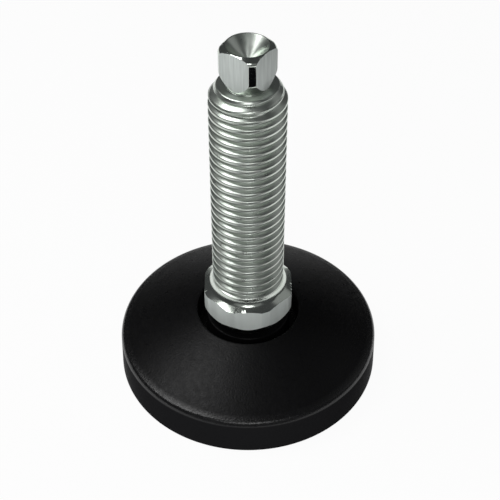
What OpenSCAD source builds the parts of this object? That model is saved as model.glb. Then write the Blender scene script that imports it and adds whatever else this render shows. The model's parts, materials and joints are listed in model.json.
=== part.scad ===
// Articulated levelling foot: a threaded stud whose ball end turns and tilts in a moulded base

/* [Thread] */
// Major diameter of the thread
thread_d = 16; // [14:2:20]
// Rise of the thread in one turn
pitch = 2; // [1.5:0.25:2.5]
// Length of the shank above the collar, with its chamfer
thread_len = 52.8; // [20:0.1:150]
// Height of the groove's start above the foot of the shank
thread_start = 1.4; // [1.2:0.1:6]
// Width of the chamfer at the thread's upper end, measured on the radius
thread_chamfer = 1.8; // [0.5:0.1:2.5]
// Slope of that chamfer against the horizontal
thread_chamfer_angle = 57; // [30:1:60]
// Radius of the fillet between the shank and the collar
root_fillet = 2; // [0.5:0.1:2.2]

/* [Square drive] */
// Width across the flats
square_af = 9; // [6:0.5:10]
// Height of the turned corners above the flats
corner_rise = 1.2; // [0.6:0.1:1.6]
// Length of the square with its neck
square_len = 8.6; // [6:0.1:15]
// Depth of the neck below the flats' level
neck_inset = 0.2; // [0.1:0.1:1]
// Height over which the corners run in to the neck
neck_run = 2.9; // [1:0.1:3.5]
// Distance from the flats' level in to the edge of the upper face
crown_inset = 0.1; // [0:0.1:0.6]
// Slope of the chamfer that rounds off the upper corners
crown_angle = 28; // [10:1:40]
// Width of the narrow rim that the countersink leaves of the upper face
crown_rim = 0.2; // [0.1:0.1:1.5]
// Included angle of the countersink
centre_angle = 90; // [60:5:120]
// Diameter of the pilot hole below the countersink
pilot_d = 1.6; // [1:0.1:3]
// Depth of the pilot hole below the countersink
pilot_depth = 2; // [0.5:0.5:4]
// Turn of the square against the collar's flats
square_turn = 9; // [0:1:45]

/* [Collar] */
// Distance from the thread's outside to the collar's flats
collar_step = 1.8; // [1.8:0.1:4]
// Number of flats
collar_flats = 8; // [6:2:8]
// Height of the collar's flats at their middle
collar_h = 6.8; // [5:0.1:12]
// Slope of the cone from the flats up to the shank
collar_top_angle = 30; // [15:1:40]
// Distance from the flats in to the edge of the lower face
collar_foot_inset = 0.7; // [0.2:0.1:1.5]
// Slope of the lower chamfer
collar_foot_angle = 60; // [30:1:62]

/* [Ball joint] */
// Diameter of the ball
ball_d = 15; // [14:0.5:16]
// Diameter of the neck between the ball and the collar
ball_neck_d = 10.6; // [8:0.1:11]
// Clearance all round the ball and the ring
joint_gap = 0.05; // [0.02:0.01:0.08]
// Diameter of the retaining ring's wire
wire_d = 1.4; // [1:0.1:1.6]
// Height of the wire's centre above the ball's centre
ring_rise = 2.5; // [2:0.1:3]
// Opening between the ring's ends, as an angle
ring_split = 30; // [15:5:60]

/* [Base] */
// Diameter on the floor
base_d = 60; // [54:1:90]
// Draft angle of the side wall
side_draft = 2; // [0:0.5:5]
// Height at which the side wall would meet the cone
shoulder_z = 8.9; // [7:0.1:10]
// Radius of the shoulder
shoulder_r = 1.2; // [0.5:0.1:2]
// Small chamfer at the lower edge
foot_chamfer = 0.4; // [0.2:0.1:1]
// Thickness of the floor under the ball
floor_t = 2.6; // [2:0.1:5]
// Width of the recess's opening outside the collar's flats
recess_gap = 1.85; // [1.4:0.05:3]
// Depth from the recess's rim to the top of the ball's seat
recess_depth = 1.15; // [0.8:0.05:3]
// Wall of the seat above the ring's groove
seat_lip = 0.8; // [0.6:0.1:1.2]
// Depth of the moat round the ball's seat, below the rim
moat_depth = 6; // [3:0.1:7]
// Wall round the ball, from the seat to the moat
seat_wall = 2; // [1.6:0.1:2.2]
// Radius of the rim of the recess
rim_r = 0.4; // [0.1:0.1:0.8]
// Gap between the rim and the collar's lower face
collar_gap = 0.9; // [0.5:0.1:3]

/* [Underside] */
// Thickness of the side wall and of the conical top
shell_t = 3; // [2:0.1:3.4]
// Wall of the boss outside the recess
boss_wall = 2.35; // [1.5:0.05:4]
// Number of ribs
ribs = 8; // [4:2:12]
// Thickness of a rib
rib_t = 2; // [1:0.1:3]
// Height of the ribs' lower edges above the floor
rib_lift = 0.8; // [0.2:0.1:2]

/* [Hidden] */
$fn = 96;
arc_steps = 8;
thread_steps = 24;
spare = 1;

// Radii
ball_r = ball_d / 2;
wire_r = wire_d / 2;
thread_r = thread_d / 2;
base_r = base_d / 2;
square_r = square_af / 2;
crown_r = square_r - crown_inset;
sink_r = crown_r - crown_rim;
collar_r = thread_r + collar_step;
recess_r = collar_r + recess_gap;
boss_r = recess_r + boss_wall;
seat_r = ball_r + joint_gap;
ring_r = sqrt(pow(ball_r + wire_r + joint_gap, 2) - pow(ring_rise, 2));
groove_r = wire_r + joint_gap;
moat_r = seat_r + seat_wall;

// Metric thread form
flank_angle = 30;
groove_depth = 0.6134 * pitch;
groove_w = pitch * 7 / 8;
groove_past = pitch / 20;

// Heights, from the floor up
ball_z = floor_t + seat_r;
ring_z = ball_z + ring_rise;
seat_top = ring_z + groove_r + seat_lip;
rim_z = seat_top + recess_depth;
moat_z = rim_z - moat_depth;
collar_z = rim_z + collar_gap;
collar_top = collar_z + collar_h;
thread_z = collar_top + collar_step * tan(collar_top_angle);
square_z = thread_z + thread_len;
top_z = square_z + square_len;

// Corners of the base's section, where the straight lines would meet
lower_corner = [base_r, 0];
shoulder = [base_r - shoulder_z * tan(side_draft), shoulder_z];
rim = [recess_r, rim_z];
cone_angle = atan2(rim_z - shoulder_z, shoulder.x - recess_r);

steel = "#c3c8c6";
spring_steel = "#8f9596";
nylon = "#1f1f20";

function unit(v) = v / norm(v);

// Points of the arc of radius r that blends the corner b of the path a, b, c
function blend(a, b, c, r) =
    let (
        u = unit(a - b),
        v = unit(c - b),
        half = acos(u * v) / 2,
        centre = b + unit(u + v) * r / sin(half),
        first = b + u * r / tan(half) - centre,
        last = b + v * r / tan(half) - centre,
        start = atan2(first.y, first.x),
        sweep = (atan2(last.y, last.x) - start + 540) % 360 - 180,
        turns = [for (i = [0 : arc_steps]) start + sweep * i / arc_steps]
    )
    [for (turn = turns) centre + r * [cos(turn), sin(turn)]];

// Half section of the base, with the recess and the moat, solid under the ball's seat
module base_section() {
    polygon(concat(
        [[0, 0], [base_r - foot_chamfer, 0], lower_corner + foot_chamfer * [-tan(side_draft), 1]],
        blend(lower_corner, shoulder, rim, shoulder_r),
        blend(shoulder, rim, [recess_r, moat_z], rim_r),
        [[recess_r, moat_z], [moat_r, moat_z], [moat_r, seat_top], [0, seat_top]]
    ));
}

// Half section of the hollow between the boss and the side wall
module core_section() {
    core_r = shoulder.x - shell_t;
    roof_z = function (x) rim_z - (x - recess_r) * tan(cone_angle) - shell_t / cos(cone_angle);
    polygon([
        [boss_r, -spare],
        [core_r, -spare],
        [core_r, roof_z(core_r)],
        [boss_r, roof_z(boss_r)]
    ]);
}

module rib_plates() {
    for (i = [0 : ribs - 1])
        rotate((i + 0.5) * 360 / ribs)
            translate([0, -rib_t / 2, rib_lift])
                cube([base_r, rib_t, rim_z]);
}

// The ball's seat and the ring's groove, as the space to take out of the base
module joint_space() {
    translate([0, 0, ball_z])
        sphere(r = seat_r);
    translate([0, 0, ball_z])
        cylinder(r = seat_r, h = seat_top - ball_z + spare);
    rotate_extrude()
        translate([ring_r, ring_z])
            circle(r = groove_r);
}

module base() {
    color(nylon)
        difference() {
            rotate_extrude()
                base_section();
            difference() {
                rotate_extrude()
                    core_section();
                rib_plates();
            }
            joint_space();
        }
}

module retaining_ring() {
    color(spring_steel)
        translate([0, 0, ring_z])
            rotate(ring_split / 2)
                rotate_extrude(angle = 360 - ring_split)
                    translate([ring_r, 0])
                        circle(r = wire_r);
}

// Collar and shank as turned, with the cone and the fillet between them and the chamfer at the thread's end
module shank_blank() {
    outer_r = collar_r / cos(180 / collar_flats) + spare;
    foot_r = collar_r - collar_foot_inset;
    collar_edge = [outer_r, collar_top - (outer_r - collar_r) * tan(collar_top_angle)];
    shank_foot = [thread_r, thread_z];
    shank_end = [thread_r, square_z - thread_chamfer * tan(thread_chamfer_angle)];
    rotate_extrude()
        polygon(concat(
            [
                [0, collar_z],
                [foot_r, collar_z],
                [outer_r, collar_z + (outer_r - foot_r) * tan(collar_foot_angle)],
                collar_edge
            ],
            blend(collar_edge, shank_foot, shank_end, root_fillet),
            [shank_end, [thread_r - thread_chamfer, square_z], [0, square_z]]
        ));
}

// Section of the thread's groove, as corners (radius, height), sunk by a share of its depth
function groove_section(share) =
    let (
        root_r = thread_r - share * groove_depth,
        lip_r = root_r + groove_depth + groove_past,
        root_w = groove_w / 2 - groove_depth * tan(flank_angle),
        lip_w = root_w + (lip_r - root_r) * tan(flank_angle)
    )
    [[lip_r, -lip_w], [root_r, -root_w], [root_r, root_w], [lip_r, lip_w]];

// The thread's groove as one right-hand coil that fades in over a quarter turn and runs out past the chamfer
module thread_groove() {
    sides = 4;
    steps = thread_steps * ceil((thread_len - thread_start) / pitch + 1);
    fade_steps = thread_steps / 4;
    late = 0.25;
    points = [
        for (i = [0 : steps], corner = groove_section(min(1, (i - late) / fade_steps)))
            let (
                turn = 180 + i * 360 / thread_steps,
                z = thread_z + thread_start + i * pitch / thread_steps
            )
            [corner.x * cos(turn), corner.x * sin(turn), z + corner.y]
    ];
    walls = [
        for (i = [0 : steps - 1], k = [0 : sides - 1])
            let (a = i * sides + k, b = i * sides + (k + 1) % sides)
            each [[a, b + sides, b], [a, a + sides, b + sides]]
    ];
    start = [for (k = [0 : sides - 1]) k];
    end = [for (k = [1 : sides]) (steps + 1) * sides - k];
    polyhedron(points, concat(walls, [start, end]));
}

// Eight-sided collar and threaded shank
module shank() {
    half_flat = 180 / collar_flats;
    difference() {
        intersection() {
            shank_blank();
            translate([0, 0, collar_z])
                rotate(half_flat)
                    cylinder(r = collar_r / cos(half_flat), h = square_z - collar_z, $fn = collar_flats);
        }
        thread_groove();
    }
}

// Turned blank of the square, with the neck below and the crown's chamfer above
module square_blank() {
    corner_r = square_r + corner_rise;
    rotate_extrude()
        polygon([
            [0, square_z],
            [square_r - neck_inset, square_z],
            [corner_r, square_z + neck_run],
            [corner_r, top_z - (corner_r - crown_r) * tan(crown_angle)],
            [crown_r, top_z],
            [0, top_z]
        ]);
}

module centre_hole() {
    sink_depth = sink_r / tan(centre_angle / 2);
    translate([0, 0, top_z - sink_depth])
        cylinder(r1 = 0, r2 = sink_r, h = sink_depth);
    translate([0, 0, top_z - sink_depth - pilot_depth])
        cylinder(d = pilot_d, h = sink_depth + pilot_depth);
}

module square_drive() {
    intersection() {
        square_blank();
        rotate(45 + square_turn)
            translate([-square_r, -square_r, square_z])
                cube([square_af, square_af, square_len]);
    }
}

module stud() {
    color(steel)
        difference() {
            union() {
                translate([0, 0, ball_z])
                    sphere(r = ball_r);
                translate([0, 0, ball_z])
                    cylinder(d = ball_neck_d, h = collar_z - ball_z);
                shank();
                square_drive();
            }
            centre_hole();
        }
}

base();
retaining_ring();
stud();
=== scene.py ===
"""An articulated levelling foot: moulded base, retaining ring and zinc-plated stud, on a studio floor."""

import json
import math

import bmesh
import bpy
from bpy.props import FloatProperty, FloatVectorProperty, IntProperty, PointerProperty
from mathutils import Matrix, Vector


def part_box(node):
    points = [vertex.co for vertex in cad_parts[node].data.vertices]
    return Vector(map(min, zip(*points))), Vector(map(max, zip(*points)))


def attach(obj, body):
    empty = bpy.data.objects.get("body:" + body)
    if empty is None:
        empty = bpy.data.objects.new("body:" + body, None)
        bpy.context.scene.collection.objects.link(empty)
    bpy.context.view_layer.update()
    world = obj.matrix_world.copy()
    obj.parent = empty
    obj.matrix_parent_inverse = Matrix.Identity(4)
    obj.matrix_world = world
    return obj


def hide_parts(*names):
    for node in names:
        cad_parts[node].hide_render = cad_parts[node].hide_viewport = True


bl_info = {
    "name": "Articulated Levelling Foot",
    "version": (1, 0, 0),
    "blender": (4, 5, 0),
    "location": "3D View > Sidebar > Levelling Foot",
    "description": "Models a levelling foot with a ball-jointed stud, its finishes and a small studio",
    "category": "Object",
}

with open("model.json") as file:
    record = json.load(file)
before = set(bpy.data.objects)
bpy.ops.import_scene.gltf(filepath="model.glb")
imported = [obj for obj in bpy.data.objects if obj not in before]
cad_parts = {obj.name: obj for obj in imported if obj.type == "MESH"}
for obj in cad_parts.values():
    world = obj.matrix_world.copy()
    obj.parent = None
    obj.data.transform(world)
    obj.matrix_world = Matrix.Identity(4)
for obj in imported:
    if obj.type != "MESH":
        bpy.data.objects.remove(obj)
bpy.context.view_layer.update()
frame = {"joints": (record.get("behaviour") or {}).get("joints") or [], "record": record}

# Places that the frame gives
BASE_LOW, BASE_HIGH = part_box("base")
RING_LOW, RING_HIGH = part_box("retaining_ring")
STUD_LOW, STUD_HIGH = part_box("stud")
BALL_Z = frame["joints"][0]["pos_m"][2]
BALL_R = BALL_Z - STUD_LOW.z
THREAD_R = next(m for m in frame["record"]["mounts"] if m["name"] == "stud_thread")["dims"]["r_mm"] / 1000

MERGE = 1e-7  # vertices this close are one
SLIVER = 1e-6  # narrower faces are cleared after a cut
SEAM = 1e-4  # small step across a border
FAR = 1.0  # well beyond the foot
SHARP_EDGE = math.radians(32)
FLANK_ANGLE = math.radians(30)
UPRIGHT = 0.2  # largest rise of an upright face's normal

NOISE_RANGE = (0.3, 0.7)  # where most of a noise's values lie
PLATING_RELIEF = 1e-5  # height of the bump on plain metal

FLOOR_RADIUS = 12
FLOOR_GLOW = 0.95  # share of plain white in the floor that the camera sees

LAMPS = (
    # name, place, size, watts, seen in reflections
    ("softbox_left", (-0.21, 0.03, 0.48), (0.25, 0.25), 1.12, True),
    ("fill_right", (0.45, 0.10, 0.35), (0.35, 0.35), 0.1, True),
    ("front_lamp", (0, -0.42, 0.46), (0.20, 0.16), 0.5, True),
    ("front_panel", (0, -0.45, 0.36), (0.70, 0.30), 0.1, True),
    ("front_fill", (-0.10, -0.42, 0.10), (0.40, 0.16), 0.9, False),
)


def length(name, description, millimetres):
    """A size in metres, with its default in millimetres."""
    return FloatProperty(
        name=name, description=description, default=millimetres / 1000,
        precision=5, subtype="DISTANCE", unit="LENGTH",
    )


def angle(name, description, degrees):
    """An angle in radians, with its default in degrees."""
    return FloatProperty(
        name=name, description=description, default=math.radians(degrees), subtype="ANGLE", unit="ROTATION",
    )


def colour(name, description, default):
    """A linear colour."""
    return FloatVectorProperty(
        name=name, description=description, default=default, min=0, max=1, subtype="COLOR",
    )


def tone(base, factor):
    """A colour made darker or lighter."""
    return tuple(factor * channel for channel in base)


class BaseSizes(bpy.types.PropertyGroup):
    """Sizes of the moulded base."""

    side_draft: angle("Side Draft", "Draft of the side wall", 2)
    shoulder: length("Shoulder", "Height at which the side wall would meet the cone", 8.9)
    shoulder_round: length("Shoulder Round", "Radius of the shoulder", 1.2)
    foot_chamfer: length("Foot Chamfer", "Chamfer at the lower edge", 0.4)
    rim: length("Rim", "Height at which the cone would meet the recess's wall", 15.35)
    recess_radius: length("Recess Radius", "Radius of the recess round the stud", 11.65)
    recess_depth: length("Recess Depth", "Depth from the rim to the top of the ball's seat", 1.15)
    rim_round: length("Rim Round", "Radius of the recess's rim", 0.4)
    moat_radius: length("Moat Radius", "Outer radius of the seat's wall", 9.55)
    moat_depth: length("Moat Depth", "Depth of the moat below the rim", 6)
    moat_round: length("Moat Round", "Radius of the moat's corners", 0.3)
    joint_gap: length("Joint Gap", "Clearance round the ball and the ring", 0.05)
    boss_radius: length("Boss Radius", "Outer radius of the boss on the underside", 14)
    shell: length("Shell", "Thickness of the side wall and of the conical top", 3)
    ribs: IntProperty(name="Ribs", description="Number of ribs on the underside", default=8, min=3)
    rib: length("Rib", "Thickness of a rib", 2)
    rib_lift: length("Rib Lift", "Height of the ribs' lower edges above the floor", 0.8)
    steps: IntProperty(name="Steps", description="Segments round the base", default=192, min=24)


class StudSizes(bpy.types.PropertyGroup):
    """Sizes of the turned stud."""

    square_length: length("Square Length", "Length of the square with its neck", 8.6)
    square_half: length("Square Half", "Half of the square's width across the flats", 4.5)
    corner_radius: length("Corner Radius", "Radius of the square's turned corners", 5.7)
    square_turn: angle("Square Turn", "Turn of the square against the collar's flats", 9)
    neck_radius: length("Neck Radius", "Radius of the groove under the square", 4.3)
    neck_run: length("Neck Run", "Height over which the corners run in to the neck", 2.9)
    neck_round: length("Neck Round", "Radius in the bottom of that groove", 0.15)
    run_round: length("Run Round", "Radius at the upper end of the corners' run-in", 2)
    crown_radius: length("Crown Radius", "Radius of the upper face's edge", 4.4)
    crown_angle: angle("Crown Angle", "Slope of the chamfer on the square's upper corners", 28)
    crown_round: length("Crown Round", "Radius of the crown's inner edge", 0.12)
    crown_edge: length("Crown Edge", "Radius of the crown's outer edge", 1)
    sink_radius: length("Sink Radius", "Radius of the countersink's edge", 4.2)
    sink_round: length("Sink Round", "Radius of that edge", 0.08)
    pilot_radius: length("Pilot Radius", "Radius of the hole below the countersink", 0.8)
    pilot_depth: length("Pilot Depth", "Depth of that hole below the countersink's point", 2)
    thread_length: length("Thread Length", "Length of the shank with its chamfer", 52.8)
    pitch: length("Pitch", "Rise of the thread in one turn", 2)
    thread_depth: length("Thread Depth", "Depth of the thread", 1.0)
    allowance: length("Allowance", "By how much the crests stay below the nominal radius", 0.08)
    crest: length("Crest", "Width of a crest before it is rounded", 0.52)
    crest_round: length("Crest Round", "Radius of the crests' edges", 0.37)
    root_round: length("Root Round", "Radius in the thread's root", 0.27)
    thread_start: length(
        "Thread Start", "Height of the groove's start, at the left, above the shank's foot", 1.4,
    )
    chamfer: length("Chamfer", "Width of the chamfer at the thread's upper end", 1.8)
    chamfer_angle: angle("Chamfer Angle", "Slope of that chamfer", 57)
    runout: length("Runout", "How far the groove sinks in along that chamfer", 0.9)
    ledge_round: length("Ledge Round", "Radius between that chamfer and the ledge", 0.35)
    root_fillet: length("Root Fillet", "Radius between the shank and the collar's cone", 2)
    collar_half: length("Collar Half", "Half of the collar's width across the flats", 9.8)
    collar_rise: length("Collar Rise", "Height of the turned corners above the collar's flats", 0.45)
    collar_flats: IntProperty(name="Collar Flats", description="Number of flats", default=8, min=3)
    collar_height: length("Collar Height", "Height of the collar's flats at their middle", 6.8)
    face_angle: angle("Face Angle", "Slope of the cone from the flats up to the shank", 30)
    foot_inset: length("Foot Inset", "From the flats in to the edge of the lower face", 0.7)
    foot_angle: angle("Foot Angle", "Slope of the collar's lower chamfer", 60)
    ball_neck: length("Ball Neck", "Radius of the neck above the ball", 5.3)
    edge_round: length("Edge Round", "Radius of the edges of the flats", 0.12)
    steps: IntProperty(name="Steps", description="Segments round the stud", default=192, min=24)


class Finishes(bpy.types.PropertyGroup):
    """Colours and finishes of the pieces."""

    nylon: colour("Nylon", "Colour of the moulded base", (0.0045, 0.0045, 0.0048))
    nylon_grain: length("Nylon Grain", "Size of the moulded grain", 0.42)
    grain_depth: length("Grain Depth", "Depth of the moulded grain", 0.06)
    zinc: colour("Zinc", "Colour of the plating", (0.56, 0.612, 0.555))
    zinc_tint: colour("Zinc Tint", "Colour of the plating's paler patches", (0.64, 0.685, 0.635))
    zinc_flat: colour("Zinc Flat", "Colour of the plating on the flats", (0.49, 0.525, 0.505))
    wire: colour("Wire", "Colour of the retaining ring", (0.35, 0.36, 0.37))


class StudioSettings(bpy.types.PropertyGroup):
    """The floor, the lamps and the camera."""

    floor: colour("Floor", "Colour of the floor", (0.9, 0.9, 0.9))
    room: colour("Room", "Colour of the room", (0.06, 0.061, 0.063))
    backdrop: colour("Backdrop", "Colour of the room as the camera sees it", (0.975, 0.975, 0.975))
    aim: length("Aim", "Height that the camera looks at", 32.85)
    pan: length("Pan", "Distance by which the camera looks past the stud", 0.44)
    distance: length("Distance", "From that point to the camera", 241.5)
    elevation: angle("Elevation", "Camera's angle above the horizon", 43.07)
    lens: FloatProperty(name="Lens", description="Focal length", default=78.89, unit="CAMERA")


def arc(centre, radius, start, end, steps):
    """Corners along an arc about a point (radius, height), its angles counted from the outward direction."""
    turns = [start + (end - start) * i / steps for i in range(steps + 1)]
    return [(centre[0] + radius * math.cos(t), centre[1] + radius * math.sin(t)) for t in turns]


def polyline(bm, corners, closed=False, segments=6):
    """Wire in the XZ plane through corners (radius, height) or (radius, height, round)."""
    verts = [bm.verts.new((corner[0], 0, corner[1])) for corner in corners]
    ends = verts[1:] + verts[:1] if closed else verts[1:]
    for start, end in zip(verts, ends):
        bm.edges.new((start, end))
    places = [vert.co.copy() for vert in verts]
    for i, corner in enumerate(corners):
        if len(corner) == 3:
            ahead = places[(i + 1) % len(places)] - places[i]
            behind = places[i] - places[i - 1]
            bmesh.ops.bevel(
                bm, geom=[verts[i]], offset=corner[2] * math.tan(behind.angle(ahead) / 2),
                offset_type="OFFSET", segments=segments, profile=0.5, affect="VERTICES", material=-1,
            )


def tidy(bm):
    """Merges doubles and turns all faces outwards."""
    bmesh.ops.remove_doubles(bm, verts=bm.verts, dist=MERGE)
    bmesh.ops.dissolve_degenerate(bm, edges=bm.edges, dist=MERGE)
    bmesh.ops.recalc_face_normals(bm, faces=bm.faces)


def turn(bm, steps):
    """Turns the wire in bm once round the Z axis."""
    bmesh.ops.spin(
        bm, geom=bm.verts[:] + bm.edges[:], cent=(0, 0, 0), axis=(0, 0, 1), dvec=(0, 0, 0),
        angle=math.tau, steps=steps, use_merge=True,
    )
    tidy(bm)


def heading(turned):
    """Level direction at an angle from +X."""
    return Vector((math.cos(turned), math.sin(turned), 0))


def move_out(vert, distance):
    """Moves a vertex away from the Z axis."""
    radius = math.hypot(vert.co.x, vert.co.y)
    vert.co.x *= 1 + distance / radius
    vert.co.y *= 1 + distance / radius


def slice_off(bm, normal, distance, low=-FAR, high=FAR):
    """Cuts away what lies beyond a plane, between two heights, and closes the cut with one face."""
    faces = [f for f in bm.faces if low < f.calc_center_median().z < high]
    # Lists in the mesh's own order, because a set's order changes from run to run
    inside = set(faces)
    edges = [e for e in bm.edges if inside.intersection(e.link_faces)]
    verts = [v for v in bm.verts if inside.intersection(v.link_faces)]
    cut = bmesh.ops.bisect_plane(
        bm, geom=[*verts, *edges, *faces], dist=MERGE, plane_co=normal * distance, plane_no=normal,
        clear_outer=True,
    )["geom_cut"]
    loop = [e for e in cut if isinstance(e, bmesh.types.BMEdge)]
    return bmesh.ops.edgeloop_fill(bm, edges=loop)["faces"]


def make_object(name, bm):
    """An object with the mesh in bm, which is freed."""
    mesh = bpy.data.meshes.new(name)
    bm.to_mesh(mesh)
    bm.free()
    obj = bpy.data.objects.new(name, mesh)
    bpy.context.scene.collection.objects.link(obj)
    return obj


def carve(obj, cutter):
    """Takes the cutter's shape out of the object, clears the slivers that leaves, and deletes the cutter."""
    modifier = obj.modifiers.new("carve", "BOOLEAN")
    modifier.object = cutter
    modifier.operation = "DIFFERENCE"
    modifier.solver = "MANIFOLD"
    bpy.context.view_layer.update()
    carved = bpy.data.meshes.new_from_object(obj.evaluated_get(bpy.context.evaluated_depsgraph_get()))
    obj.modifiers.clear()
    bm = bmesh.new()
    bm.from_mesh(carved)
    bmesh.ops.remove_doubles(bm, verts=bm.verts, dist=SLIVER)
    bmesh.ops.dissolve_degenerate(bm, edges=bm.edges, dist=SLIVER)
    bm.to_mesh(carved)
    bm.free()
    blank = obj.data
    obj.data = carved
    carved.name = obj.name
    bpy.data.meshes.remove(blank)
    shape = cutter.data
    bpy.data.objects.remove(cutter)
    bpy.data.meshes.remove(shape)


def shade(obj, all_faces=False):
    """Smooth shading between sharp edges, on all faces or on those that aren't marked flat."""
    if all_faces:
        obj.data.polygons.foreach_set("use_smooth", [True] * len(obj.data.polygons))
    obj.data.set_sharp_from_angle(angle=SHARP_EDGE)


def dress(obj, body, node):
    """Makes the object stand for a node of the frame."""
    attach(obj, body)
    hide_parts(node)


class Nodes:
    """Adds nodes to a material's tree and links them."""

    def __init__(self, name):
        self.material = bpy.data.materials.new(name)
        self.material.use_nodes = True
        self.tree = self.material.node_tree
        self.shader = self.tree.nodes["Principled BSDF"]
        self.places = self.add("ShaderNodeTexCoord").outputs["Object"]

    def add(self, kind, values=None, **settings):
        node = self.tree.nodes.new(kind)
        for key, value in settings.items():
            setattr(node, key, value)
        for key, value in (values or {}).items():
            if isinstance(value, bpy.types.NodeSocket):
                self.tree.links.new(value, node.inputs[key])
            else:
                node.inputs[key].default_value = value
        return node

    def noise(self, size, detail=2.0, roughness=0.5, vector=None):
        """Noise with features of about that size."""
        values = {
            "Vector": vector or self.places, "Scale": 1 / size, "Detail": detail, "Roughness": roughness,
        }
        return self.add("ShaderNodeTexNoise", values).outputs["Fac"]

    def remap(self, value, low, high, start=0.0, end=1.0):
        values = {"Value": value, "From Min": low, "From Max": high, "To Min": start, "To Max": end}
        return self.add("ShaderNodeMapRange", values).outputs["Result"]

    def blend(self, factor, start, end):
        """From start to end as the factor goes from 0 to 1."""
        return self.remap(factor, 0, 1, start, end)

    def vary(self, noise, start, end):
        """From start to end over the usual range of a noise."""
        return self.remap(noise, *NOISE_RANGE, start, end)

    def product(self, first, second):
        return self.add("ShaderNodeMath", {0: first, 1: second}, operation="MULTIPLY").outputs["Value"]

    def sum(self, first, second):
        return self.add("ShaderNodeMath", {0: first, 1: second}, operation="ADD").outputs["Value"]

    def largest(self, first, second):
        return self.add("ShaderNodeMath", {0: first, 1: second}, operation="MAXIMUM").outputs["Value"]

    def height(self):
        return self.add("ShaderNodeSeparateXYZ", {"Vector": self.places}).outputs["Z"]

    def radius(self):
        """Distance from the Z axis."""
        flat = self.add("ShaderNodeVectorMath", {0: self.places, 1: (1, 1, 0)}, operation="MULTIPLY")
        span = self.add("ShaderNodeVectorMath", {0: flat.outputs["Vector"]}, operation="LENGTH")
        return span.outputs["Value"]

    def band(self, value, middle, half):
        """1 at the middle of a band, falling to 0 at its edges."""
        rise = self.remap(value, middle - half, middle)
        fall = self.remap(value, middle, middle + half, 1, 0)
        return self.product(rise, fall)

    def mix(self, factor, first, second):
        node = self.add("ShaderNodeMix", {"Factor": factor}, data_type="RGBA")
        node.inputs["A"].default_value = (*first, 1)
        node.inputs["B"].default_value = (*second, 1)
        return node.outputs["Result"]

    def bump(self, height, strength, distance):
        values = {"Height": height, "Strength": strength, "Distance": distance}
        return self.add("ShaderNodeBump", values).outputs["Normal"]

    def set(self, **values):
        """Sets the shader's sockets, given by name with _ for a space."""
        for key, value in values.items():
            socket = self.shader.inputs[key.replace("_", " ").title().replace("Ior", "IOR")]
            if isinstance(value, bpy.types.NodeSocket):
                self.tree.links.new(value, socket)
            else:
                socket.default_value = value


def nylon(finish, sizes):
    """Black moulded nylon: a fine grain on the top, smoother and a little paler on the side wall, where the
    paler colour is a painted reflection of the white floor.
    """
    n = Nodes("moulded_nylon")
    height = n.height()
    top = n.remap(height, sizes.shoulder - sizes.shoulder_round, sizes.shoulder)
    edge = n.band(height, sizes.shoulder - 0.1 * sizes.shoulder_round, 0.7 * sizes.shoulder_round)
    grain = n.noise(finish.nylon_grain, detail=3, roughness=0.6)
    pores = n.noise(finish.nylon_grain * 2.5, detail=2)
    clouds = n.noise(0.012, detail=3)
    # Random clouds in the tone, plus a painted reflection: the side wall's colour is raised to stand in for
    # the floor's sheen, which its near-zero specular leaves out
    clouds_and_painted_sheen = n.sum(n.product(clouds, 0.25), n.blend(top, 0.65, 0))
    n.set(
        base_color=n.mix(clouds_and_painted_sheen, tone(finish.nylon, 0.8), tone(finish.nylon, 2.8)),
        roughness=n.product(n.vary(pores, 0.27, 0.38), n.blend(edge, 1, 0.6)),
        specular_ior_level=n.sum(n.blend(top, 0.0015, 0.11), n.blend(edge, 0, 0.5)),
        normal=n.bump(grain, n.blend(top, 0.1, 1.0), finish.grain_depth),
    )
    return n.material


def zinc(finish, sizes):
    """Bright zinc plating: satin on the thread, smoother on the collar and the square's turned corners."""
    n = Nodes("zinc_turned")
    height = n.height()
    square_z = STUD_HIGH.z - sizes.square_length
    thread_z = square_z - sizes.thread_length
    patches = n.noise(0.006, detail=3)
    blur = n.noise(0.0015, detail=3)
    corner = n.product(
        n.remap(height, square_z, square_z + sizes.neck_run / 2),
        n.remap(n.radius(), sizes.sink_radius, sizes.sink_radius + sizes.edge_round),
    )
    collar = n.remap(height, thread_z, thread_z + sizes.thread_start, 0.55, 1)
    smooth = n.product(collar, n.blend(corner, 1, 0.35))
    n.set(
        metallic=1.0,
        base_color=n.mix(n.remap(patches, 0.35, 0.65), finish.zinc, finish.zinc_tint),
        roughness=n.product(n.vary(blur, 0.27, 0.34), smooth),
        normal=n.bump(n.noise(0.0003, detail=2), 0.08, PLATING_RELIEF),
    )
    return n.material


def zinc_flats(finish):
    """Zinc plating on the flats: duller, with fine upright lines on the square."""
    n = Nodes("zinc_flats")
    stretched = n.add("ShaderNodeMapping", {"Vector": n.places, "Scale": (1, 1, 0.06)}).outputs["Vector"]
    lines = n.noise(0.0004, detail=3, vector=stretched)
    mottle = n.noise(0.002, detail=3, vector=stretched)
    drawn = n.remap(n.height(), STUD_HIGH.z / 2, STUD_HIGH.z / 2 + SEAM)
    worn = n.sum(n.vary(mottle, 0.35, 0.65), n.product(n.vary(lines, -0.3, 0.3), drawn))
    n.set(
        metallic=0.25,
        base_color=n.mix(worn, tone(finish.zinc_flat, 0.8), tone(finish.zinc_flat, 1.25)),
        roughness=n.vary(mottle, 0.55, 0.65),
        normal=n.bump(lines, 0.15, PLATING_RELIEF),
    )
    return n.material


def drawn_wire(finish):
    """Plain spring wire with faint drawing marks."""
    n = Nodes("drawn_wire")
    marks = n.noise(0.0002, detail=2)
    n.set(
        metallic=1.0,
        base_color=n.mix(marks, tone(finish.wire, 0.85), finish.wire),
        roughness=n.vary(marks, 0.3, 0.42),
        normal=n.bump(marks, 0.1, PLATING_RELIEF),
    )
    return n.material


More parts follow.
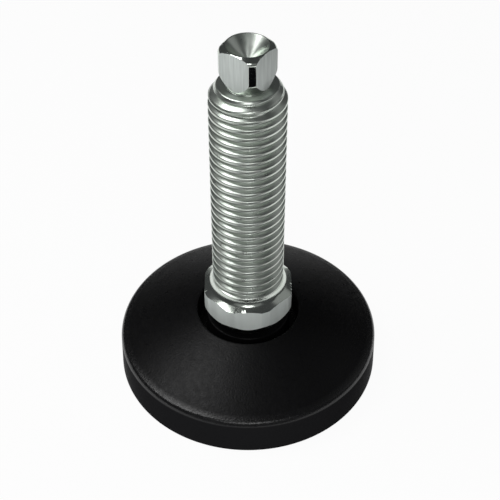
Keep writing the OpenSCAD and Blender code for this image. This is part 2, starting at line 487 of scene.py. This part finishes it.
class FOOT_OT_base(bpy.types.Operator):
    """Models the moulded base with its recess, ball seat and ribbed underside"""

    bl_idname = "levelling_foot.base"
    bl_label = "Base"

    def execute(self, context):
        sizes = context.scene.foot_base
        base = make_object("base_moulding", self.blank(sizes))
        base.data.materials.append(nylon(context.scene.foot_finishes, sizes))
        carve(base, make_object("pockets", self.pockets(sizes)))
        carve(base, make_object("rib_relief", self.relief(sizes)))
        shade(base, all_faces=True)
        dress(base, "base", "base")
        return {"FINISHED"}

    def blank(self, sizes):
        """The base with a solid underside."""
        draft = math.tan(sizes.side_draft)
        edge_r, rim_z = BASE_HIGH.x, sizes.rim
        seat_r = BALL_R + sizes.joint_gap
        seat_top = rim_z - sizes.recess_depth
        moat_z = rim_z - sizes.moat_depth
        ring_z = (RING_LOW.z + RING_HIGH.z) / 2
        wire_r = (RING_HIGH.z - RING_LOW.z) / 2
        ring_r = RING_HIGH.y - wire_r
        groove_r = wire_r + sizes.joint_gap
        lean = math.acos((seat_r - ring_r) / groove_r)
        bm = bmesh.new()
        polyline(bm, [
            (0, 0),
            (edge_r - sizes.foot_chamfer, 0),
            (edge_r - sizes.foot_chamfer * draft, sizes.foot_chamfer),
            (edge_r - sizes.shoulder * draft, sizes.shoulder, sizes.shoulder_round),
            (sizes.recess_radius, rim_z, sizes.rim_round),
            (sizes.recess_radius, moat_z, sizes.moat_round),
            (sizes.moat_radius, moat_z, sizes.moat_round),
            (sizes.moat_radius, seat_top, sizes.moat_round),
            (seat_r, seat_top, sizes.moat_round),
            *arc((ring_r, ring_z), groove_r, lean, -lean, steps=12),
            *arc((0, BALL_Z), seat_r, 0, -math.pi / 2, steps=20),
        ])
        turn(bm, sizes.steps)
        return bm

    def core(self, bm, sizes):
        """One face in the XZ plane: the section of the hollow between the boss and the side wall."""
        rim_r, rim_z = sizes.recess_radius, sizes.rim
        shoulder_r = BASE_HIGH.x - sizes.shoulder * math.tan(sizes.side_draft)
        slope = (rim_z - sizes.shoulder) / (shoulder_r - rim_r)
        drop = sizes.shell * math.hypot(1, slope)
        inner, outer = sizes.boss_radius, shoulder_r - sizes.shell
        corners = [
            (inner, -sizes.shell),
            (outer, -sizes.shell),
            (outer, rim_z - (outer - rim_r) * slope - drop),
            (inner, rim_z - (inner - rim_r) * slope - drop),
        ]
        return bm.faces.new([bm.verts.new((r, 0, z)) for r, z in corners])

    def pockets(self, sizes):
        """The spaces between the ribs."""
        bm = bmesh.new()
        span = math.tau / sizes.ribs
        for i in range(sizes.ribs):
            wedge = bmesh.new()
            face = self.core(wedge, sizes)
            bmesh.ops.rotate(
                wedge, verts=wedge.verts, cent=(0, 0, 0), matrix=Matrix.Rotation((i - 0.5) * span, 3, "Z"),
            )
            bmesh.ops.spin(
                wedge, geom=[face, *face.edges, *face.verts], cent=(0, 0, 0), axis=(0, 0, 1), dvec=(0, 0, 0),
                angle=span, steps=sizes.steps // sizes.ribs,
            )
            tidy(wedge)
            for side in (-1, 1):
                outward = heading((i + side / 2) * span + side * math.pi / 2)
                slice_off(wedge, outward, -sizes.rib / 2)
            tidy(wedge)
            mesh = bpy.data.meshes.new("wedge")
            wedge.to_mesh(mesh)
            wedge.free()
            bm.from_mesh(mesh)
            bpy.data.meshes.remove(mesh)
        return bm

    def relief(self, sizes):
        """The ring under the ribs' lower edges."""
        bm = bmesh.new()
        self.core(bm, sizes)
        bmesh.ops.bisect_plane(
            bm, geom=bm.verts[:] + bm.edges[:] + bm.faces[:], plane_co=(0, 0, sizes.rib_lift),
            plane_no=(0, 0, 1), clear_outer=True,
        )
        bmesh.ops.delete(bm, geom=bm.faces[:], context="FACES_ONLY")
        turn(bm, sizes.steps)
        return bm


class FOOT_OT_ring(bpy.types.Operator):
    """Models the split retaining ring of round wire"""

    bl_idname = "levelling_foot.ring"
    bl_label = "Retaining Ring"

    WIRE_SEGMENTS = 24
    RING_STEPS = 96
    END_ROUND = 0.2  # share of the wire's radius

    split: angle("Split", "Opening between the ring's ends", 30)

    def execute(self, context):
        wire_r = (RING_HIGH.z - RING_LOW.z) / 2
        ring_r = RING_HIGH.y - wire_r
        place = Matrix.Translation((ring_r, 0, RING_LOW.z + wire_r)) @ Matrix.Rotation(math.pi / 2, 4, "X")
        bm = bmesh.new()
        bmesh.ops.create_circle(bm, cap_ends=True, radius=wire_r, segments=self.WIRE_SEGMENTS, matrix=place)
        bmesh.ops.rotate(bm, verts=bm.verts, cent=(0, 0, 0), matrix=Matrix.Rotation(self.split / 2, 3, "Z"))
        bmesh.ops.spin(
            bm, geom=bm.verts[:] + bm.edges[:] + bm.faces[:], cent=(0, 0, 0), axis=(0, 0, 1), dvec=(0, 0, 0),
            angle=math.tau - self.split, steps=self.RING_STEPS,
        )
        tidy(bm)
        ends = [f for f in bm.faces if len(f.verts) > 4]
        bmesh.ops.bevel(
            bm, geom=list({e for f in ends for e in f.edges}), offset=wire_r * self.END_ROUND,
            offset_type="OFFSET", segments=3, profile=0.5, affect="EDGES", material=-1, clamp_overlap=True,
        )
        ring = make_object("retaining_wire", bm)
        shade(ring, all_faces=True)
        ring.data.materials.append(drawn_wire(context.scene.foot_finishes))
        dress(ring, "ring", "retaining_ring")
        return {"FINISHED"}


class FOOT_OT_stud(bpy.types.Operator):
    """Models the turned stud: ball, eight-sided collar, rolled thread and square drive"""

    bl_idname = "levelling_foot.stud"
    bl_label = "Stud"

    FLAT = 1  # the flats' finish among the stud's materials

    # The groove's cutter: the first three in widths of a crest, the last in depths of the thread
    LIP = 0.05  # how far its edge stands above the crests
    REACH = 4  # how far it reaches out
    TURN_GAP = 0.075  # half of the gap between its turns
    CLEAR = 1.05  # lift that takes it out of the blank

    def execute(self, context):
        sizes = context.scene.foot_stud
        finish = context.scene.foot_finishes
        stud = make_object("zinc_stud", self.blank(sizes))
        stud.data.materials.append(zinc(finish, sizes))
        stud.data.materials.append(zinc_flats(finish))
        carve(stud, make_object("thread_groove", self.groove(sizes)))
        shade(stud)
        dress(stud, "stud", "stud")
        return {"FINISHED"}

    def blank(self, sizes):
        """The turned blank with its flats, before the thread is rolled."""
        top = STUD_HIGH.z
        square_z = top - sizes.square_length
        thread_z = square_z - sizes.thread_length
        crest_r = THREAD_R - sizes.allowance
        cone_slope = math.tan(sizes.face_angle)
        collar_top = thread_z - (sizes.collar_half - THREAD_R) * cone_slope
        collar_z = collar_top - sizes.collar_height
        outer_r = sizes.collar_half + sizes.collar_rise
        foot_r = sizes.collar_half - sizes.foot_inset
        ledge_r = THREAD_R - sizes.chamfer
        chamfer_slope = math.tan(sizes.chamfer_angle)
        crown_drop = (sizes.corner_radius - sizes.crown_radius) * math.tan(sizes.crown_angle)
        sink_z = top - sizes.sink_radius
        bm = bmesh.new()
        polyline(bm, [
            *arc((0, BALL_Z), BALL_R, -math.pi / 2, math.acos(sizes.ball_neck / BALL_R), steps=32),
            (sizes.ball_neck, collar_z),
            (foot_r, collar_z),
            (outer_r, collar_z + (outer_r - foot_r) * math.tan(sizes.foot_angle)),
            (outer_r, collar_top - (outer_r - sizes.collar_half) * cone_slope),
            (crest_r, thread_z + (THREAD_R - crest_r) * cone_slope, sizes.root_fillet),
            (crest_r, square_z - (crest_r - ledge_r) * chamfer_slope),
            (ledge_r, square_z, sizes.ledge_round),
            (sizes.neck_radius, square_z, sizes.neck_round),
            (sizes.corner_radius, square_z + sizes.neck_run, sizes.run_round),
            (sizes.corner_radius, top - crown_drop, sizes.crown_edge),
            (sizes.crown_radius, top, sizes.crown_round),
            (sizes.sink_radius, top, sizes.sink_round),
            (sizes.pilot_radius, sink_z + sizes.pilot_radius),
            (sizes.pilot_radius, sink_z - sizes.pilot_depth),
            (0, sink_z - sizes.pilot_depth),
        ])
        turn(bm, sizes.steps)
        for face in bm.faces:
            face.smooth = True
        for i in range(sizes.collar_flats):
            outward = heading(i * math.tau / sizes.collar_flats)
            self.mill(bm, outward, sizes.collar_half, collar_z - MERGE, thread_z)
        for i in range(4):
            outward = heading(sizes.square_turn + (i + 0.5) * math.pi / 2)
            self.mill(bm, outward, sizes.square_half, square_z + 2 * sizes.neck_round, FAR)
        flats = [f for f in bm.faces if f.material_index == self.FLAT]
        for face in bm.faces:
            if collar_z < face.calc_center_median().z < collar_top and abs(face.normal.z) < UPRIGHT:
                face.material_index = self.FLAT
        bmesh.ops.bevel(
            bm, geom=list({e for f in flats for e in f.edges}), offset=sizes.edge_round,
            offset_type="OFFSET", segments=3, profile=0.5, affect="EDGES", material=-1, clamp_overlap=True,
        )
        tidy(bm)
        return bm

    def mill(self, bm, outward, distance, low, high):
        """Makes one flat, with its own finish."""
        for face in slice_off(bm, outward, distance, low, high):
            face.smooth = False
            face.material_index = self.FLAT

    def groove(self, sizes):
        """The thread's groove as a coil to take out of the blank."""
        shank_foot = STUD_HIGH.z - sizes.square_length - sizes.thread_length
        crest_r = THREAD_R - sizes.allowance
        half_pitch = sizes.pitch / 2
        half_crest = sizes.crest / 2
        root_r = crest_r - sizes.thread_depth
        half_root = half_pitch - half_crest - sizes.thread_depth * math.tan(FLANK_ANGLE)
        lip_r = crest_r + self.LIP * sizes.crest
        wing_r = crest_r + self.REACH * sizes.crest
        wing = half_pitch - self.TURN_GAP * sizes.crest
        turns = math.ceil(sizes.thread_length / sizes.pitch)
        steps = sizes.steps // 2
        section = [
            (wing_r, -wing),
            (lip_r, -wing),
            (lip_r, -half_pitch + half_crest, sizes.crest_round),
            (root_r, -half_root, sizes.root_round),
            (root_r, half_root, sizes.root_round),
            (lip_r, half_pitch - half_crest, sizes.crest_round),
            (lip_r, wing),
            (wing_r, wing),
        ]
        bm = bmesh.new()
        polyline(bm, section, closed=True, segments=4)
        bmesh.ops.rotate(bm, verts=bm.verts, cent=(0, 0, 0), matrix=Matrix.Rotation(math.pi, 3, "Z"))
        bmesh.ops.translate(bm, verts=bm.verts, vec=(0, 0, shank_foot + sizes.thread_start))
        bmesh.ops.spin(
            bm, geom=bm.verts[:] + bm.edges[:], cent=(0, 0, 0), axis=(0, 0, 1),
            dvec=(0, 0, sizes.pitch / steps), angle=math.tau, steps=steps,
        )
        first_turn = bm.verts[:] + bm.edges[:] + bm.faces[:]
        for i in range(1, turns):
            copied = bmesh.ops.duplicate(bm, geom=first_turn)["geom"]
            verts = [v for v in copied if isinstance(v, bmesh.types.BMVert)]
            bmesh.ops.translate(bm, verts=verts, vec=(0, 0, i * sizes.pitch))
        bmesh.ops.remove_doubles(bm, verts=bm.verts, dist=MERGE)
        self.fade(bm, sizes, shank_foot + sizes.thread_start)
        self.sink(bm, sizes)
        bmesh.ops.holes_fill(bm, edges=[e for e in bm.edges if e.is_boundary])
        tidy(bm)
        for face in bm.faces:
            face.smooth = True
        return bm

    def fade(self, bm, sizes, start):
        """Lifts the coil's first quarter turn out of the blank, so that the groove fades in."""
        quarter = sizes.pitch / 4
        for vert in bm.verts:
            turned = (math.atan2(vert.co.y, vert.co.x) - math.pi + SEAM) % math.tau
            rise = turned / math.tau * sizes.pitch
            if rise < quarter and vert.co.z < start + sizes.pitch / 2 + rise:
                move_out(vert, (1 - rise / quarter) * self.CLEAR * sizes.thread_depth)

    def sink(self, bm, sizes):
        """Lets the coil's last turns follow the chamfer, so that the ridges run up to the ledge."""
        slope = math.tan(sizes.chamfer_angle)
        start = STUD_HIGH.z - sizes.square_length - sizes.chamfer * slope
        for vert in bm.verts:
            if vert.co.z > start:
                move_out(vert, -min(sizes.runout, (vert.co.z - start) / slope))


def light(name, place, target, size, watts):
    """A soft rectangular lamp that looks at a point."""
    lamp = bpy.data.lights.new(name, "AREA")
    lamp.shape = "RECTANGLE"
    lamp.size, lamp.size_y = size
    lamp.energy = watts
    obj = bpy.data.objects.new(name, lamp)
    obj.location = place
    obj.rotation_euler = (Vector(target) - Vector(place)).to_track_quat("-Z", "Y").to_euler()
    bpy.context.scene.collection.objects.link(obj)
    return obj


class FOOT_OT_stage(bpy.types.Operator):
    """Sets up the floor, the lamps and the camera"""

    bl_idname = "levelling_foot.stage"
    bl_label = "Stage"

    def execute(self, context):
        studio = context.scene.foot_studio
        context.scene.view_settings.view_transform = "Standard"
        self.floor(studio)
        self.room(context, studio)
        self.camera(context, studio)
        middle = (0, 0, studio.aim)
        for name, place, size, watts, mirrored in LAMPS:
            light(name, place, middle, size, watts).visible_glossy = mirrored
        self.flag("front_flag", place=(0.02, -0.165, 0.002), half=(0.075, 0.12))
        return {"FINISHED"}

    def floor(self, studio):
        """White for the camera and in reflections, with a faint shadow."""
        bm = bmesh.new()
        bmesh.ops.create_circle(bm, cap_ends=True, radius=FLOOR_RADIUS, segments=96)
        floor = make_object("floor", bm)
        n = Nodes("floor_white")
        n.tree.nodes.remove(n.shader)
        path = n.add("ShaderNodeLightPath").outputs
        direct = n.largest(path["Is Camera Ray"], path["Is Glossy Ray"])
        seen = n.largest(direct, path["Is Transmission Ray"])
        matte = n.add("ShaderNodeBsdfDiffuse", {"Color": (*studio.floor, 1)}).outputs["BSDF"]
        white = n.add("ShaderNodeEmission").outputs["Emission"]
        mix = n.add("ShaderNodeMixShader", {"Fac": n.product(seen, FLOOR_GLOW), 1: matte, 2: white})
        n.tree.links.new(mix.outputs["Shader"], n.tree.nodes["Material Output"].inputs["Surface"])
        floor.data.materials.append(n.material)

    def room(self, context, studio):
        """A dim room that the camera sees as white."""
        world = bpy.data.worlds.new("room")
        world.use_nodes = True
        tree = world.node_tree
        path = tree.nodes.new("ShaderNodeLightPath")
        mix = tree.nodes.new("ShaderNodeMix")
        mix.data_type = "RGBA"
        mix.inputs["A"].default_value = (*studio.room, 1)
        mix.inputs["B"].default_value = (*studio.backdrop, 1)
        tree.links.new(path.outputs["Is Camera Ray"], mix.inputs["Factor"])
        tree.links.new(mix.outputs["Result"], tree.nodes["Background"].inputs["Color"])
        context.scene.world = world

    def flag(self, name, place, half):
        """A dark card that only reflections see."""
        bm = bmesh.new()
        bmesh.ops.create_grid(bm, x_segments=1, y_segments=1, size=1)
        bmesh.ops.scale(bm, verts=bm.verts, vec=(*half, 1))
        bmesh.ops.translate(bm, verts=bm.verts, vec=place)
        card = make_object(name, bm)
        card.visible_camera = False
        card.visible_diffuse = False
        card.visible_shadow = False
        card.visible_transmission = False
        material = bpy.data.materials.new("flag_black")
        material.use_nodes = True
        shader = material.node_tree.nodes["Principled BSDF"]
        shader.inputs["Base Color"].default_value = (0.005, 0.005, 0.006, 1)
        shader.inputs["Specular IOR Level"].default_value = 0
        card.data.materials.append(material)

    def camera(self, context, studio):
        """A camera in front of the foot, looking down at it."""
        lens = bpy.data.cameras.new("camera")
        lens.lens = studio.lens
        lens.clip_start = 0.01
        camera = bpy.data.objects.new("camera", lens)
        aim = Vector((studio.pan, 0, studio.aim))
        back = Vector((0, -math.cos(studio.elevation), math.sin(studio.elevation))) * studio.distance
        camera.location = Vector((0, 0, studio.aim)) + back
        camera.rotation_euler = (aim - camera.location).to_track_quat("-Z", "Y").to_euler()
        context.scene.collection.objects.link(camera)
        context.scene.camera = camera


class FOOT_PT_sidebar(bpy.types.Panel):
    """Lists the pieces of the foot and their sizes"""

    bl_idname = "FOOT_PT_sidebar"
    bl_label = "Levelling Foot"
    bl_space_type = "VIEW_3D"
    bl_region_type = "UI"
    bl_category = "Levelling Foot"

    def draw(self, context):
        layout = self.layout
        for operator in OPERATORS:
            layout.operator(operator.bl_idname)
        for holder in SETTINGS:
            group = getattr(context.scene, holder)
            box = layout.box()
            for key in group.bl_rna.properties.keys():
                if key not in ("rna_type", "name"):
                    box.prop(group, key)


SETTINGS = {
    "foot_base": BaseSizes,
    "foot_stud": StudSizes,
    "foot_finishes": Finishes,
    "foot_studio": StudioSettings,
}
OPERATORS = (FOOT_OT_base, FOOT_OT_ring, FOOT_OT_stud, FOOT_OT_stage)


def register():
    for cls in (*SETTINGS.values(), *OPERATORS, FOOT_PT_sidebar):
        bpy.utils.register_class(cls)
    for holder, cls in SETTINGS.items():
        setattr(bpy.types.Scene, holder, PointerProperty(type=cls))


def unregister():
    for holder in SETTINGS:
        delattr(bpy.types.Scene, holder)
    for cls in (FOOT_PT_sidebar, *reversed(OPERATORS), *reversed(SETTINGS.values())):
        bpy.utils.unregister_class(cls)


def main():
    register()
    bpy.ops.levelling_foot.base()
    bpy.ops.levelling_foot.ring()
    bpy.ops.levelling_foot.stud()
    bpy.ops.levelling_foot.stage()


if __name__ == "__main__":
    main()
